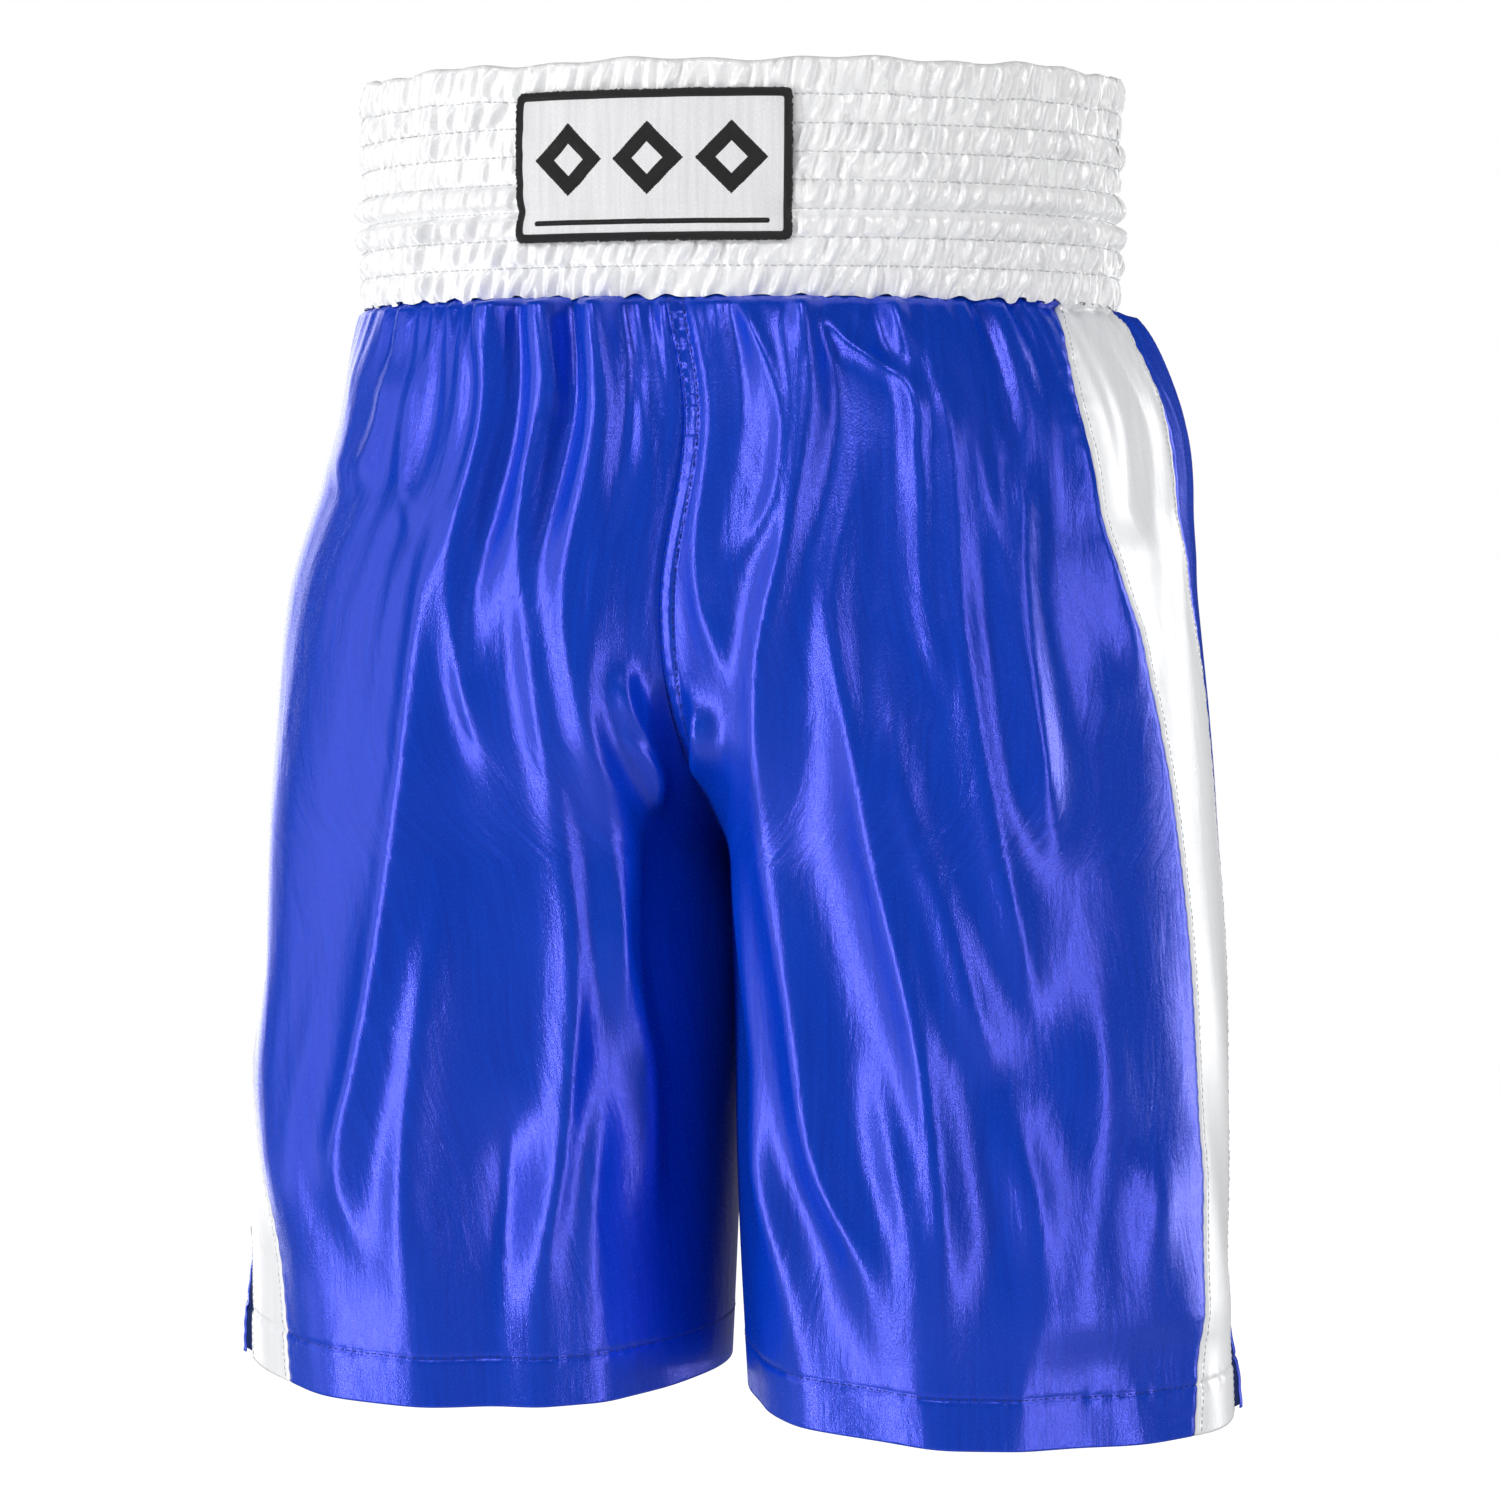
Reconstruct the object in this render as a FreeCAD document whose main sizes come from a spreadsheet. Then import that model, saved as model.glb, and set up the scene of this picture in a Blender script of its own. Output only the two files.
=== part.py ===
import FreeCAD, Part
import os

# Boxing shorts, sizes in millimetres.  +Z is up, the wearer faces -Y and the wearer's left is +X.
# The origin is the centre of the waist opening, in the plane of the waistband's top edge.

SIZES = {
    # waistband
    "waist_half_width": 176,
    "waist_half_depth": 116,
    "band_height": 100,
    "casing_wall": 1.0,
    "header_fold": 1.5,
    "elastic_width": 22,
    "elastic_thickness": 1.6,
    "elastic_clearance": 0.2,
    # body of the shorts: each oval is half a side, its drop is measured below the waistband
    "hip_drop": 60,
    "hip_half_width": 196,
    "hip_half_depth": 124,
    "hip_shift": 12,
    "seat_drop": 135,
    "seat_half_width": 210,
    "seat_half_depth": 130,
    "seat_shift": 42,
    "crotch_drop": 250,
    "crotch_half_width": 217,
    "crotch_half_depth": 121,
    "total_length": 615,
    "hem_half_width": 226,
    "hem_half_depth": 108,
    "leg_gap": 6,
    "cloth_wall": 1.2,
    "hem_depth": 23,
    # side stripe and its vent
    "stripe_width": 56,
    "stripe_top_shift": -10,
    "stripe_hem_shift": -36,
    "vent_height": 60,
    "vent_setback": 8,
    "facing_width": 18,
    "tack_height": 2.5,
    # label
    "label_width": 127,
    "label_height": 66,
    "label_drop": 11,
    "label_shift": 8,
    "label_border": 4,
    "label_cloth": 0.8,
    "border_thickness": 1.5,
    "motif_thickness": 0.6,
    "diamond_radius": 17,
    "diamond_hole": 6,
    "diamond_pitch": 37,
    "bar_height": 3,
    # stitching
    "thread_width": 0.8,
    "thread_height": 0.5,
    "edge_stitch_inset": 2.5,
    "seam_row_gap": 7,
}
ELASTICS = 4
ROWS_PER_ELASTIC = 2
DIAMONDS = 3
REACH = 400.0            # larger than any part of the shorts, for the cutting boxes
OVAL_START = -0.9        # radians from the side towards the front, inside the front panel

os.makedirs("parts", exist_ok=True)
doc = FreeCAD.newDocument("BoxingShorts")
sheet = doc.addObject("Spreadsheet::Sheet", "Sizes")
for row, (alias, value) in enumerate(SIZES.items(), start=1):
    sheet.set(f"A{row}", alias)
    sheet.set(f"B{row}", str(value))
    sheet.setAlias(f"B{row}", alias)
doc.recompute()

pieces = []


def size(alias):
    """The value of one cell of the size sheet."""
    return float(sheet.get(alias))


def bind(obj, **expressions):
    """Binds properties to sheet expressions; x, y and z mean the placement's base."""
    for name, text in expressions.items():
        target = "Placement.Base." + name if name in ("x", "y", "z") else name
        obj.setExpression(target, text)
    return obj


def keep(obj, label):
    """Gives a finished sub-part its label and lists it for export."""
    obj.Label = label
    pieces.append(obj)
    return obj


def cut(base, tool, name="cut"):
    """Base minus tool."""
    result = doc.addObject("Part::Cut", name)
    result.Base = base
    result.Tool = tool
    return result


def common(base, tool, name="common"):
    """What base and tool share."""
    result = doc.addObject("Part::Common", name)
    result.Base = base
    result.Tool = tool
    return result


def fuse(shapes, name="fuse"):
    """All the shapes as one object."""
    result = doc.addObject("Part::MultiFuse", name)
    result.Shapes = shapes
    return result


def box(name, length, width, height, x, y, z):
    """A box from expressions, its lowest corner at x, y, z."""
    block = doc.addObject("Part::Box", name)
    return bind(block, Length=length, Width=width, Height=height, x=x, y=y, z=z)


def oval_disc(name, grow, height, z):
    """An elliptical slab: the waist oval grown by an amount, standing on z."""
    oval = doc.addObject("Part::Ellipse", name + "_oval")
    bind(
        oval,
        MajorRadius=f"Sizes.waist_half_width + {grow}",
        MinorRadius=f"Sizes.waist_half_depth + {grow}",
        z=z,
    )
    slab = doc.addObject("Part::Extrusion", name)
    slab.Base = oval
    slab.DirMode = "Custom"
    slab.Dir = FreeCAD.Vector(0, 0, 1)
    slab.Solid = True
    return bind(slab, LengthFwd=height)


def oval_ring(name, outer, inner, height, z):
    """An elliptical ring between two growths of the waist oval."""
    return cut(
        oval_disc(name + "_outer", outer, height, z),
        oval_disc(name + "_inner", inner, height, z),
        name,
    )


# ---------------------------------------------------------------- waistband

BAND_BOTTOM = "-Sizes.band_height"
POCKET_OUTER = "-Sizes.casing_wall"
POCKET_INNER = "-(Sizes.casing_wall + Sizes.elastic_thickness + 2 * Sizes.elastic_clearance)"
CASING_INNER = "-(2 * Sizes.casing_wall + Sizes.elastic_thickness + 2 * Sizes.elastic_clearance)"
CHANNEL = f"((Sizes.band_height - Sizes.header_fold) / {ELASTICS})"


def waistband_casing():
    """One satin strip folded over the elastics: a ring with a pocket open at the bottom."""
    ring = oval_ring("casing_ring", "0", CASING_INNER, "Sizes.band_height", BAND_BOTTOM)
    pocket = oval_ring(
        "casing_pocket", POCKET_OUTER, POCKET_INNER,
        "Sizes.band_height - Sizes.header_fold", BAND_BOTTOM,
    )
    return keep(cut(ring, pocket, "waistband_casing"), "waistband_casing")


def waistband_elastic(number):
    """One elastic strip as a closed loop in the middle of its channel, 1 being the top one."""
    outer = f"-(Sizes.casing_wall + Sizes.elastic_clearance)"
    inner = f"-(Sizes.casing_wall + Sizes.elastic_clearance + Sizes.elastic_thickness)"
    foot = (
        f"-Sizes.header_fold - {number} * {CHANNEL}"
        f" + ({CHANNEL} - Sizes.elastic_width) / 2"
    )
    name = f"waistband_elastic_{number}"
    return keep(oval_ring(name, outer, inner, "Sizes.elastic_width", foot), name)


def waistband_stitching():
    """Rows of thread round the band, at the edges and the middle of every elastic."""
    rows = []
    for row in range(1, ELASTICS * ROWS_PER_ELASTIC):
        foot = (
            f"-Sizes.header_fold - {row} * {CHANNEL} / {ROWS_PER_ELASTIC}"
            " - Sizes.thread_width / 2"
        )
        rows.append(oval_ring(
            f"band_row_{row}", "Sizes.thread_height", "0", "Sizes.thread_width", foot))
    return keep(fuse(rows, "waistband_stitching"), "waistband_stitching")


# ---------------------------------------------------------------- label

LABEL_LEFT = "-Sizes.label_shift - Sizes.label_width / 2"
LABEL_FOOT = "-Sizes.label_drop - Sizes.label_height"
FRONT = "-Sizes.waist_half_depth - 50"
ROW_CLEAR = "Sizes.thread_height"


def label_window(name, inset):
    """A box through the front of the band, as large as the label less an inset all round."""
    return box(
        name,
        f"Sizes.label_width - 2 * {inset}",
        "Sizes.waist_half_depth",
        f"Sizes.label_height - 2 * {inset}",
        f"{LABEL_LEFT} + {inset}",
        FRONT,
        f"{LABEL_FOOT} + {inset}",
    )


def label_slice(name, low, high, window):
    """The part of a ring in front of the band that lies inside a window."""
    ring = oval_ring(name + "_ring", high, low, "Sizes.band_height", BAND_BOTTOM)
    return common(ring, window, name)


def label_field():
    """The woven cloth inside the border."""
    field = label_slice(
        "label_field", ROW_CLEAR, f"{ROW_CLEAR} + Sizes.label_cloth",
        label_window("field_window", "Sizes.label_border"),
    )
    return keep(field, "label_field")


def label_border():
    """The thick overcast edge of the label."""
    whole = label_slice(
        "border_whole", ROW_CLEAR, f"{ROW_CLEAR} + Sizes.border_thickness",
        label_window("border_window", "0"),
    )
    return keep(
        cut(whole, label_window("border_hole", "Sizes.label_border"), "label_border"),
        "label_border",
    )


def diamond(name, radius, index):
    """A square prism on its corner, lying along Y through the front of the band."""
    prism = doc.addObject("Part::Prism", name)
    prism.Polygon = 4
    prism.Placement.Rotation = FreeCAD.Rotation(FreeCAD.Vector(1, 0, 0), -90)
    return bind(
        prism,
        Circumradius=radius,
        Height="Sizes.waist_half_depth",
        x=f"-Sizes.label_shift + {index - (DIAMONDS - 1) / 2} * Sizes.diamond_pitch",
        y=FRONT,
        z="-Sizes.label_drop - Sizes.label_height / 2 + Sizes.bar_height",
    )


def label_motif():
    """A plain row of hollow diamonds over a thin bar, raised on the field."""
    shapes = []
    for index in range(DIAMONDS):
        outer = diamond(f"diamond_{index}", "Sizes.diamond_radius", index)
        hole = diamond(f"diamond_hole_{index}", "Sizes.diamond_hole", index)
        shapes.append(cut(outer, hole, f"hollow_diamond_{index}"))
    span = f"({DIAMONDS - 1} * Sizes.diamond_pitch + 2 * Sizes.diamond_radius)"
    shapes.append(box(
        "motif_bar", span, "Sizes.waist_half_depth", "Sizes.bar_height",
        f"-Sizes.label_shift - {span} / 2", FRONT,
        f"{LABEL_FOOT} + Sizes.label_border + Sizes.bar_height",
    ))
    cutter = fuse(shapes, "motif_cutter")
    base = f"{ROW_CLEAR} + Sizes.label_cloth"
    motif = label_slice("label_motif", base, f"{base} + Sizes.motif_thickness", cutter)
    return keep(motif, "label_motif")


# ---------------------------------------------------------------- body shells

def side_sections(grow):
    """The left side's ovals from waist to hem, as (height, centre x, half width, half depth)."""
    top = -size("band_height")
    legs = [
        ("crotch", top - size("crotch_drop"), 0.0),
        ("hem", -size("total_length"), size("leg_gap") / 2),
    ]
    sections = [(top, 0.0, size("waist_half_width"), size("waist_half_depth"))]
    for place in ("hip", "seat"):
        shift = size(place + "_shift")
        sections.append((
            top - size(place + "_drop"), shift,
            size(place + "_half_width") - shift, size(place + "_half_depth"),
        ))
    for place, height, inner in legs:
        outer = size(place + "_half_width")
        sections.append((
            height, (outer + inner) / 2, (outer - inner) / 2, size(place + "_half_depth"),
        ))
    return [(z, x, wide + grow, deep + grow) for z, x, wide, deep in sections]


def oval_wire(z, x, wide, deep):
    """A closed oval: a unit circle stretched to its half sizes and moved to its place.

    Its start lies in the middle of the front panel, away from every seam.
    """
    stretch = FreeCAD.Matrix()
    stretch.rotateZ(OVAL_START)
    stretch.scale(wide, deep, 1.0)
    stretch.move(FreeCAD.Vector(x, 0, z))
    return Part.Wire([Part.makeCircle(1.0).transformGeometry(stretch)])


def side_tubes(grow):
    """The left side as a smooth loft down to the crotch and a straight leg below it."""
    ovals = [oval_wire(*section) for section in side_sections(grow)]
    crotch, hem = ovals[-2:]
    return Part.makeLoft(ovals[:-1], True, False), Part.makeLoft([crotch, hem], True, True)


def side_wall(outside, inside):
    """The wall between two growths of the left side, above and below the crotch."""
    walls = [big.cut(small) for big, small in zip(side_tubes(outside), side_tubes(inside))]
    return walls[0].fuse(walls[1])


def slab(low, high):
    """The half space x > 0 between two heights."""
    return Part.makeBox(REACH, 2 * REACH, high - low, FreeCAD.Vector(0, -REACH, low))


def shape_feature(name, shape):
    """A document object that holds a shape worked out from the sheet."""
    feature = doc.addObject("Part::Feature", name)
    feature.Shape = shape
    feature.Placement = FreeCAD.Placement()
    return feature


def left_shell():
    """The cloth of the left side: a wall, doubled inside the hem, cut at x = 0."""
    wall = size("cloth_wall")
    floor = -size("total_length")
    top = -size("band_height")
    above = side_wall(0.0, -wall).common(slab(floor, top))
    hem = side_wall(-wall, -2 * wall).common(slab(floor, floor + size("hem_depth")))
    return above.fuse(hem)


def left_skin():
    """A thread-high layer on the outside of the left side, which the stitch rows are cut from."""
    skin = side_wall(size("thread_height"), 0.0)
    return skin.common(slab(-size("total_length"), -size("band_height")))


shell = shape_feature("left_shell", left_shell())
skin = shape_feature("left_skin", left_skin())

DEEP = "Sizes.crotch_half_width"
TALL = "Sizes.total_length"
FLOOR = "-Sizes.total_length"
STRIPE_FRONT = "(-Sizes.stripe_width / 2)"
STRIPE_BACK = "(Sizes.stripe_width / 2)"
LEG_MIDDLE = "(Sizes.hem_half_width + Sizes.leg_gap / 2) / 2"
SLIT_TOP = "(Sizes.vent_height - Sizes.total_length)"
TACK_TOP = f"({SLIT_TOP} + Sizes.tack_height)"
SLIT_FRONT = f"({STRIPE_BACK} - Sizes.vent_setback)"


def stripe_line(z):
    """The depth of the stripe's middle at a height: it runs forwards from waist to hem."""
    return (
        "(Sizes.stripe_top_shift + (Sizes.stripe_hem_shift - Sizes.stripe_top_shift)"
        f" * (-Sizes.band_height - ({z})) / (Sizes.total_length - Sizes.band_height))"
    )


def outer_strip(name, front, back, low, high):
    """A slanted cutting block over the outer side of the left leg.

    Its front and back faces follow the stripe's middle line at two offsets from it.
    """
    strip = doc.addObject("Part::Wedge", name)
    strip.Placement.Rotation = FreeCAD.Rotation(FreeCAD.Vector(1, 0, 0), 90)
    return bind(
        strip,
        Xmin=LEG_MIDDLE, X2min=LEG_MIDDLE,
        Xmax=f"{LEG_MIDDLE} + Sizes.hem_half_width", X2max=f"{LEG_MIDDLE} + Sizes.hem_half_width",
        Ymin=low, Ymax=high,
        Zmin=f"-({stripe_line(low)} + {back})", Zmax=f"-({stripe_line(low)} + {front})",
        Z2min=f"-({stripe_line(high)} + {back})", Z2max=f"-({stripe_line(high)} + {front})",
    )


def mirrored(obj, name):
    """The wearer's right copy of a left sub-part."""
    copy = doc.addObject("Part::Mirroring", name)
    copy.Source = obj
    copy.Normal = FreeCAD.Vector(1, 0, 0)
    return copy


def keep_pair(obj, label):
    """Keeps a left sub-part and its mirror image."""
    keep(obj, label + "_left")
    keep(mirrored(obj, label + "_right"), label + "_right")


def stripe_box(name):
    """The whole area of the stripe, waist to hem."""
    return outer_strip(name, STRIPE_FRONT, STRIPE_BACK, FLOOR, BAND_BOTTOM)


def half_box(name, y):
    """A box over the front or the back half of the left side."""
    return box(name, "2 * Sizes.hem_half_width", DEEP, TALL, "0", y, FLOOR)


def body_panels():
    """Front and back panels of each side, which meet at the inseam and leave the stripe's area."""
    beyond = outer_strip("beyond_front", STRIPE_FRONT, DEEP, FLOOR, BAND_BOTTOM)
    front_area = cut(half_box("front_half", f"-{DEEP}"), beyond, "front_area")
    behind = outer_strip("behind_stripe", STRIPE_BACK, DEEP, FLOOR, BAND_BOTTOM)
    back_side = fuse([half_box("back_half", "0"), behind], "back_side")
    back_area = cut(back_side, stripe_box("stripe_in_back"), "back_area")
    keep_pair(common(shell, front_area, "front_panel"), "front_panel")
    keep_pair(common(shell, back_area, "back_panel"), "back_panel")


def side_stripes():
    """The white stripes, each with a slit at the bottom of its rear edge."""
    slit = outer_strip("slit", SLIT_FRONT, STRIPE_BACK, FLOOR, SLIT_TOP)
    area = cut(stripe_box("stripe_whole"), slit, "stripe_area")
    keep_pair(common(shell, area, "side_stripe"), "side_stripe")


def vent_facings():
    """A dark strip inside the back panel's vent edge, showing through the slit."""
    wall = size("cloth_wall")
    layer = side_wall(-2 * wall, -3 * wall)
    layer = layer.common(slab(-size("total_length"), 0.0))
    lining = shape_feature("facing_layer", layer)
    front = f"{STRIPE_BACK} - Sizes.vent_setback / 2"
    strip = outer_strip("facing_area", front, f"{front} + Sizes.facing_width", FLOOR, SLIT_TOP)
    keep_pair(common(lining, strip, "vent_facing"), "vent_facing")


def vent_tacks():
    """A short bar of thread across the top of each slit."""
    bar = outer_strip("tack_area", SLIT_FRONT, STRIPE_BACK, SLIT_TOP, TACK_TOP)
    keep_pair(common(skin, bar, "vent_tack"), "vent_tack")


# ---------------------------------------------------------------- stitching on the body

def centre_rows(name, y):
    """Two rows beside the centre seam, on the wearer's left of it."""
    rows = [
        box(f"{name}_{place}", "Sizes.thread_width", DEEP,
            "Sizes.crotch_drop", offset, y, "-Sizes.band_height - Sizes.crotch_drop")
        for place, offset in (("near", "Sizes.thread_width"), ("far", "Sizes.seam_row_gap"))
    ]
    return keep(common(skin, fuse(rows, name + "_boxes"), name), name)


def edge_row(name, front, low, high):
    """A thread-wide block that runs beside the stripe's middle line."""
    return outer_strip(name, front, f"{front} + Sizes.thread_width", low, high)


FRONT_ROW = f"{STRIPE_FRONT} + Sizes.edge_stitch_inset"
REAR_ROW = f"{STRIPE_BACK} - Sizes.edge_stitch_inset - Sizes.thread_width"
SLIT_ROW = f"{SLIT_FRONT} - Sizes.edge_stitch_inset - Sizes.thread_width"


def stripe_rows():
    """A row inside each edge of the stripe; the rear one ends at the slit."""
    front = edge_row("front_row", FRONT_ROW, FLOOR, BAND_BOTTOM)
    rear = edge_row("rear_row", REAR_ROW, TACK_TOP, BAND_BOTTOM)
    rows = fuse([front, rear], "stripe_row_boxes")
    keep_pair(common(skin, rows, "stripe_stitching"), "stripe_stitching")


def vent_rows():
    """A row beside the front edge of each slit."""
    row = edge_row("slit_row", SLIT_ROW, FLOOR, SLIT_TOP)
    keep_pair(common(skin, row, "vent_stitching"), "vent_stitching")


def hem_rows():
    """A row round each leg at the top of the turned hem, broken at the slit and the edge rows."""
    level = box(
        "hem_row_level", "2 * Sizes.hem_half_width", f"2 * {DEEP}", "Sizes.thread_width",
        "0", f"-{DEEP}", f"{FLOOR} + Sizes.hem_depth",
    )
    ring = common(skin, level, "hem_ring")
    slit = outer_strip("hem_row_slit", SLIT_ROW, STRIPE_BACK, FLOOR, SLIT_TOP)
    front = edge_row("hem_row_front", FRONT_ROW, FLOOR, SLIT_TOP)
    gaps = fuse([slit, front], "hem_row_gaps")
    keep_pair(cut(ring, gaps, "hem_stitching"), "hem_stitching")


waistband_casing()
for number in range(1, ELASTICS + 1):
    waistband_elastic(number)
waistband_stitching()
label_field()
label_border()
label_motif()
body_panels()
side_stripes()
vent_facings()
vent_tacks()
centre_rows("centre_front_stitching", f"-{DEEP}")
centre_rows("centre_back_stitching", "0")
stripe_rows()
vent_rows()
hem_rows()

doc.recompute()
for obj in doc.Objects:
    if "Invalid" in obj.State or "Error" in obj.State:
        raise RuntimeError(f"{obj.Label} did not compute: {obj.State}")
for piece in pieces:
    if piece.Shape.isNull() or not piece.Shape.isValid() or not piece.Shape.Solids:
        raise RuntimeError(f"{piece.Label} has no valid solid")
for piece in pieces:
    piece.Shape.exportStep(f"parts/{piece.Label}.step")
    print(piece.Label, round(piece.Shape.Volume / 1000, 2), "cm3", len(piece.Shape.Solids))
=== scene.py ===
import math

import bpy
import numpy as np
from mathutils import Matrix, Vector


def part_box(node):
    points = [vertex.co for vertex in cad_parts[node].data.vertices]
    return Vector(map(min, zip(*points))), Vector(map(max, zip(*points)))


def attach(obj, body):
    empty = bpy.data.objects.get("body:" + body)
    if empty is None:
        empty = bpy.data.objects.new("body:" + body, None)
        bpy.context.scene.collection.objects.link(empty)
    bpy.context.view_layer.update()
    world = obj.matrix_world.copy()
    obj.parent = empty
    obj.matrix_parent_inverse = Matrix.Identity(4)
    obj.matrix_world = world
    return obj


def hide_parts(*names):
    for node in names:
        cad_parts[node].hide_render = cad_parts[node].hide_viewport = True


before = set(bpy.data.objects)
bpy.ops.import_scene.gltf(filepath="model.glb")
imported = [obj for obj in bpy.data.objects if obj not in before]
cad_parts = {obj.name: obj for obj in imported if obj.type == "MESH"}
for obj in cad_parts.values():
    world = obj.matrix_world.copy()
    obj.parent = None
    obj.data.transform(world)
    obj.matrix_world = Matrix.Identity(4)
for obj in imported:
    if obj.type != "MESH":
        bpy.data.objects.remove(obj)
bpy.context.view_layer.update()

# Boxing shorts in metres: +Z up, the wearer faces -Y, side +1 is the wearer's left (+X).
# The camera stands TURN round to the wearer's left; "across" is measured square to its view.
TURN = math.radians(15.0)
BAND_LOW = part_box("waistband_casing")[0][2]
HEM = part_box("front_panel_left")[0][2]
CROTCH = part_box("centre_front_stitching")[0][2]
WAIST_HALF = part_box("waistband_casing")[1][0]
WAIST_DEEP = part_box("waistband_casing")[1][1]

# The ovals that the body of the shorts is drawn through, from hem to waist: the outer side's and
# the front's distance from the middle, and from the crotch up the inner edge's.
OVAL_Z = np.array([HEM, CROTCH, -0.235, -0.160, BAND_LOW])
OUTER_X = np.array([0.224, 0.216, 0.209, 0.195, WAIST_HALF])
DEPTH_Y = np.array([0.108, 0.119, 0.125, 0.120, WAIST_DEEP])
INNER_X = np.array([0.0, -0.126, -0.172, -WAIST_HALF])
LEG_GAP = 0.009           # how far each inseam's hem stands from the middle
LEG_GAP_POWER = 1.5       # above one, the inseams part slowly at first
HEM_RISE = {1: 0.012, -1: 0.011}     # how much higher each leg's hem hangs than the pattern's
OUTER_RISE = 0.010        # a further rise at the outer side of the wearer's right leg
HEM_LIFT = 0.010          # how much higher the hems are at the inseams
# How far the cloth hangs over to the wearer's left at rising heights.
LEAN_Z = np.array([HEM, -0.500, -0.410, -0.320, -0.234, -0.145, BAND_LOW])
LEAN_X = np.array([0.006, 0.005, 0.006, 0.003, 0.0, 0.0095, 0.0])
TUCK = 0.0022             # how far the body's top edge is tucked in under the band

STRIPE_WIDTH = 0.056
STRIPE_SHIFT = (-0.010, -0.036)      # middle of the stripe at the waist and at the hem
# How far the stripes are turned round the body, in degrees, positive towards the back, against
# the share of the way from the band to the hem.  The cloth twists on the legs as it hangs.
STRIPE_TURN = {
    1: [(0, -3), (0.08, -13), (0.20, -12), (0.35, -2), (0.45, 2), (0.6, 7), (0.75, 9.5), (1, 10)],
    -1: [(0, 19), (0.45, 19), (0.58, 14), (0.66, 6), (0.73, -4), (0.80, -9), (0.90, -12), (1, -14)],
}
VENT_HEIGHT = 0.060
VENT_SETBACK = 0.011      # how far the stripe's rear edge steps forward at the slit
VENT_KICK = {1: 0.0065, -1: 0.0035}  # how far the cloth behind each slit stands out
HEM_DEPTH = 0.023         # the hem's stitch line above its edge
SEAM_ROW = 0.007          # the second row of the centre seam from the first
WALL = 0.0006             # thickness of one layer of cloth
MILLIMETRES = 1000.0
FULL_TURN = 2 * math.pi


# ------------------------------------------------------------------ small helpers

def smoothstep(low, high, value):
    """0 below low, 1 above high and a smooth cubic ramp between."""
    u = np.clip((value - low) / (high - low), 0.0, 1.0)
    return u * u * (3.0 - 2.0 * u)


def curve(at, knots, values, first_slope=None):
    """A cubic through the values at rising knots, its slopes taken from their neighbours.

    Between two knots it is the Hermite cubic of their two values and two slopes.
    """
    slopes = np.gradient(values, knots)
    if first_slope is not None:
        slopes[0] = first_slope
    at = np.clip(at, knots[0], knots[-1])
    i = np.clip(np.searchsorted(knots, at) - 1, 0, len(knots) - 2)
    step = knots[i + 1] - knots[i]
    u = (at - knots[i]) / step
    return (
        (1 + 2 * u) * (1 - u) ** 2 * values[i]
        + u * (1 - u) ** 2 * step * slopes[i]
        + u * u * (3 - 2 * u) * values[i + 1]
        + u * u * (u - 1) * step * slopes[i + 1]
    )


def ripple(turns, low, high, count, random):
    """A closed random wave: a sum of cosines with whole numbers of waves from low to high.

    The sum is divided by the root of their number, which keeps its size near one.
    """
    numbers = random.integers(low, high, count)
    phases = random.uniform(0, FULL_TURN, count)
    total = sum(np.cos(FULL_TURN * (w * turns) + p) for w, p in zip(numbers, phases))
    return total / math.sqrt(count)


def grid_faces(rows, columns, closed=False):
    """Quads of a grid of points, its columns joined into a ring if closed."""
    last = columns if closed else columns - 1
    r, c = np.meshgrid(np.arange(rows - 1), np.arange(last), indexing="ij")
    n = (c + 1) % columns
    return np.stack([r * columns + c, r * columns + n, (r + 1) * columns + n,
                     (r + 1) * columns + c], axis=-1).reshape(-1, 4)


def make_piece(name, node, points, faces, material, uv=None, solid=0.0, flip=False):
    """A mesh object from arrays, which rides on root and stands for a CAD node.

    The piece may get a thickness inwards.
    """
    if flip:
        faces = faces[:, ::-1]
    mesh = bpy.data.meshes.new(name)
    mesh.from_pydata(points.reshape(-1, 3).tolist(), [], faces.tolist())
    if uv is not None:
        layer = mesh.uv_layers.new(name="cloth")
        layer.data.foreach_set("uv", uv.reshape(-1, 2)[faces.reshape(-1)].ravel())
    mesh.polygons.foreach_set("use_smooth", np.ones(len(faces), dtype=bool))
    materials = material if isinstance(material, tuple) else (material,)
    for entry in materials:
        mesh.materials.append(entry)
    mesh.update()
    piece = bpy.data.objects.new(name, mesh)
    bpy.context.collection.objects.link(piece)
    if solid:
        wall = piece.modifiers.new("thickness", "SOLIDIFY")
        wall.thickness = solid
        wall.offset = -1.0
        wall.material_offset = len(materials) - 1
    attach(piece, "root")
    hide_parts(node)
    return piece


# ------------------------------------------------------------------ shape of the body

def oval(z):
    """Centre, half width and half depth of one side's oval at a height.

    Its outer edge and depth are curves through the ovals above.  Its inner edge lies beyond the
    middle above the crotch, and below it draws back by LEG_GAP times a power of the way down.
    """
    outer = curve(z, OVAL_Z, OUTER_X)
    above = curve(z, OVAL_Z[1:], INNER_X, first_slope=0.0)
    below = LEG_GAP * np.clip((CROTCH - z) / (CROTCH - HEM), 0, 1) ** LEG_GAP_POWER
    inner = np.where(z > CROTCH, above, below)
    return (outer + inner) / 2, (outer - inner) / 2, curve(z, OVAL_Z, DEPTH_Y)


def inner_angle(z):
    """The angle from the outer side at which a side's cloth meets the centre or the inseam."""
    centre, wide, _ = oval(z)
    return np.arccos(np.clip(-centre / wide, -1.0, 1.0))


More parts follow.
